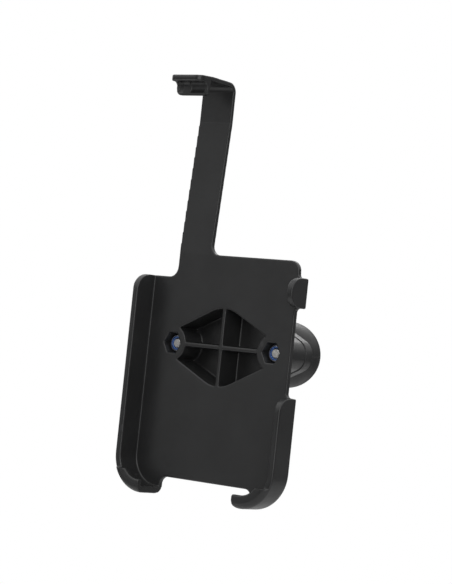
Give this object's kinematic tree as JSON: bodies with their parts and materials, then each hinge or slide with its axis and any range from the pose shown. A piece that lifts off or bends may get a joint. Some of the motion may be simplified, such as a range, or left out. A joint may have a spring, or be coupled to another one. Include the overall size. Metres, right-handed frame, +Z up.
{
  "type": "phone cradle with ball base",
  "caption": "Form-fit phone cradle for a handlebar or dash mount: open tray with side walls, corner lips, a side finger, a hinged top latch and a ball base.",
  "frame": {"origin": "centre of the ball, where the socket of a mount grips the cradle", "axes": "+Z up along the phone's height, +Y backwards from the phone towards the ball, +X to the right as seen from the phone's front"},
  "size_m": [0.078, 0.0671, 0.1556],
  "materials": {
    "tray_plastic": "black moulded plastic, fine satin texture",
    "latch_plastic": "black moulded plastic, fine satin texture",
    "base_metal": "black powder coat",
    "ball_rubber": "smooth moulded black rubber",
    "screw_steel": "bright stainless steel",
    "nut_steel": "zinc plated steel",
    "insert_nylon": "blue nylon ring"
  },
  "bodies": {
    "cradle": {"cradle_tray": "tray_plastic", "ball_base": "base_metal", "ball_jacket": "ball_rubber", "base_screws": "screw_steel", "lock_nuts": "nut_steel", "nut_inserts": "insert_nylon"},
    "latch": {"top_latch": "latch_plastic"}
  },
  "joints": [
    {"name": "latch_flex", "type": "hinge", "parent": "cradle", "child": "latch", "pos_m": [-0.0174, -0.03445, 0.0914], "axis": [-1, 0, 0], "range_deg": [0, 22], "stiffness_Nm_per_rad": 0.002}
  ]
}
